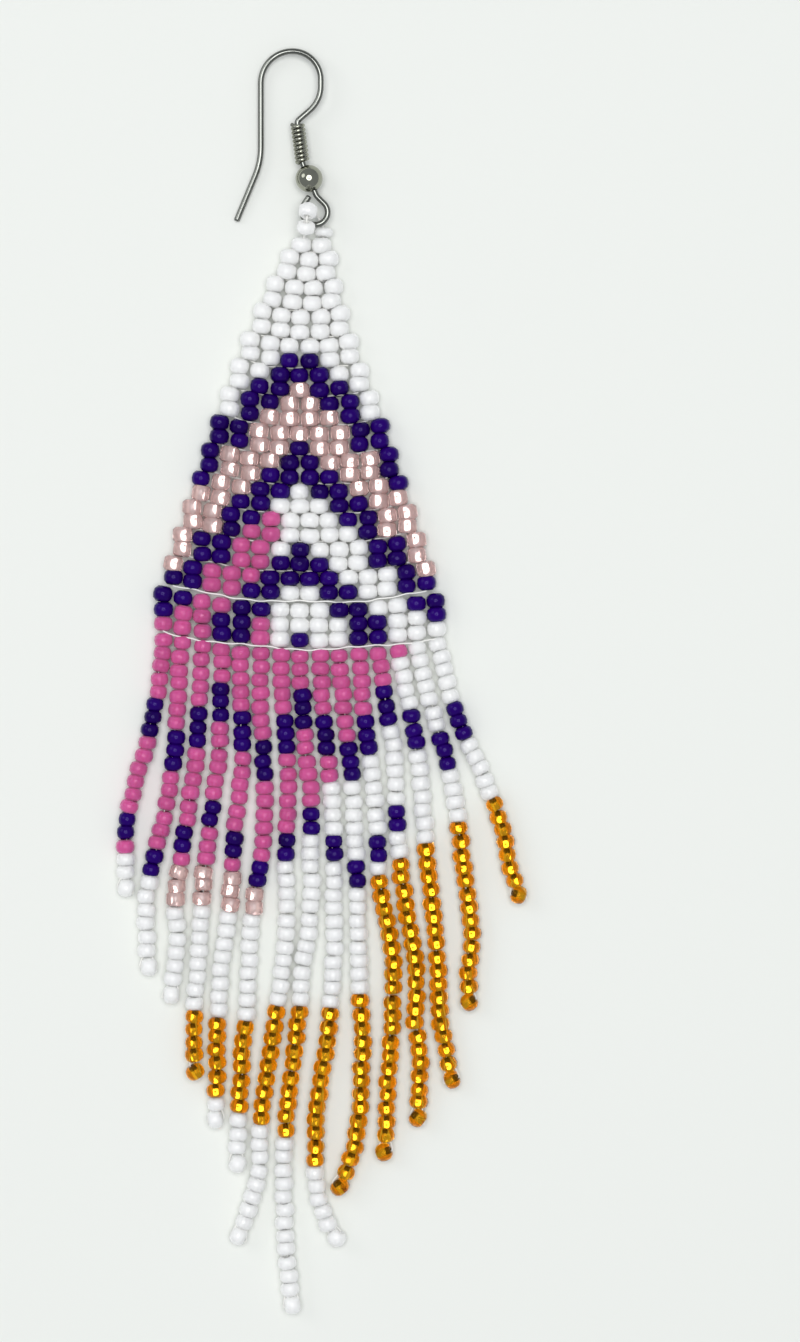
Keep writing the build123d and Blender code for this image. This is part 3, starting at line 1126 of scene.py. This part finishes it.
class EARRING_OT_stage(bpy.types.Operator):
    """Set the pale floor, the soft light and the camera above the earring"""
    bl_idname = "earring.stage"
    bl_label = "Set Stage"

    def execute(self, context):
        stage = context.scene.earring_stage
        aim = Vector((stage.aim_x, stage.aim_y, 0))
        paper = paper_board("matt paper board", tuple(stage.floor))
        card = black_card("black card", tuple(stage.card))
        boards = (
            ("floor", paper, FLOOR_RADIUS, 0.0),
            ("light_card", card, stage.card_size / 2, stage.card_height),
        )
        for name, finish, radius, height in boards:
            form = bmesh.new()
            bmesh.ops.create_circle(
                form, cap_ends=True, radius=radius, segments=BOARD_SIDES
            )
            bmesh.ops.translate(form, verts=form.verts, vec=(0, 0, height))
            mesh = bpy.data.meshes.new(name)
            form.to_mesh(mesh)
            form.free()
            mesh.materials.append(finish)
            board = bpy.data.objects.new(name, mesh)
            context.scene.collection.objects.link(board)

        camera = bpy.data.objects.new("camera", bpy.data.cameras.new("camera"))
        camera.data.sensor_fit = "VERTICAL"
        camera.data.sensor_height = SENSOR_HEIGHT
        camera.data.lens = SENSOR_HEIGHT * stage.camera_height / stage.frame_height
        camera.data.clip_start = 0.01
        camera.location = aim + Vector((0, 0, stage.camera_height))
        context.scene.collection.objects.link(camera)
        context.scene.camera = camera

        for name, spot, size, power in LIGHTS:
            lamp = bpy.data.lights.new(name, "AREA")
            lamp.shape = "DISK"
            lamp.size = size
            lamp.energy = power
            light = bpy.data.objects.new(name, lamp)
            light.location = aim + Vector(spot)
            light.rotation_euler = (-Vector(spot)).to_track_quat("-Z", "Y").to_euler()
            context.scene.collection.objects.link(light)
        world = bpy.data.worlds.new("soft room")
        world.use_nodes = True
        background = world.node_tree.nodes["Background"]
        background.inputs["Color"].default_value = tuple(stage.room)
        background.inputs["Strength"].default_value = stage.room_strength
        context.scene.world = world
        context.scene.view_settings.view_transform = "Standard"
        return {"FINISHED"}


class EARRING_PT_sidebar(bpy.types.Panel):
    """Lists the steps that dress the earring"""
    bl_idname = "EARRING_PT_sidebar"
    bl_label = "Beaded Fringe Earring"
    bl_space_type = "VIEW_3D"
    bl_region_type = "UI"
    bl_category = "Earring"

    def draw(self, context):
        layout = self.layout
        for operator in OPERATORS:
            layout.operator(operator.bl_idname)
        for group in GROUPS:
            settings = getattr(context.scene, group)
            box = layout.box()
            for name in settings.__annotations__:
                box.prop(settings, name)


GROUPS = {
    "earring_beads": EarringBeads,
    "earring_panel": EarringPanel,
    "earring_threads": EarringThreads,
    "earring_colours": EarringColours,
    "earring_stage": EarringStage,
}
OPERATORS = (
    EARRING_OT_stage,
    EARRING_OT_hook,
    EARRING_OT_loop,
    EARRING_OT_panel,
    EARRING_OT_fringe,
    EARRING_OT_threads,
)


def register():
    for name, group in GROUPS.items():
        bpy.utils.register_class(group)
        setattr(bpy.types.Scene, name, bpy.props.PointerProperty(type=group))
    for made in (*OPERATORS, EARRING_PT_sidebar):
        bpy.utils.register_class(made)


def unregister():
    for made in reversed((*OPERATORS, EARRING_PT_sidebar)):
        bpy.utils.unregister_class(made)
    for name, group in reversed(GROUPS.items()):
        delattr(bpy.types.Scene, name)
        bpy.utils.unregister_class(group)


def main():
    register()
    bpy.ops.earring.stage()
    bpy.ops.earring.hook()
    bpy.ops.earring.loop()
    bpy.ops.earring.panel()
    bpy.ops.earring.fringe()
    bpy.ops.earring.threads()


if __name__ == "__main__":
    main()
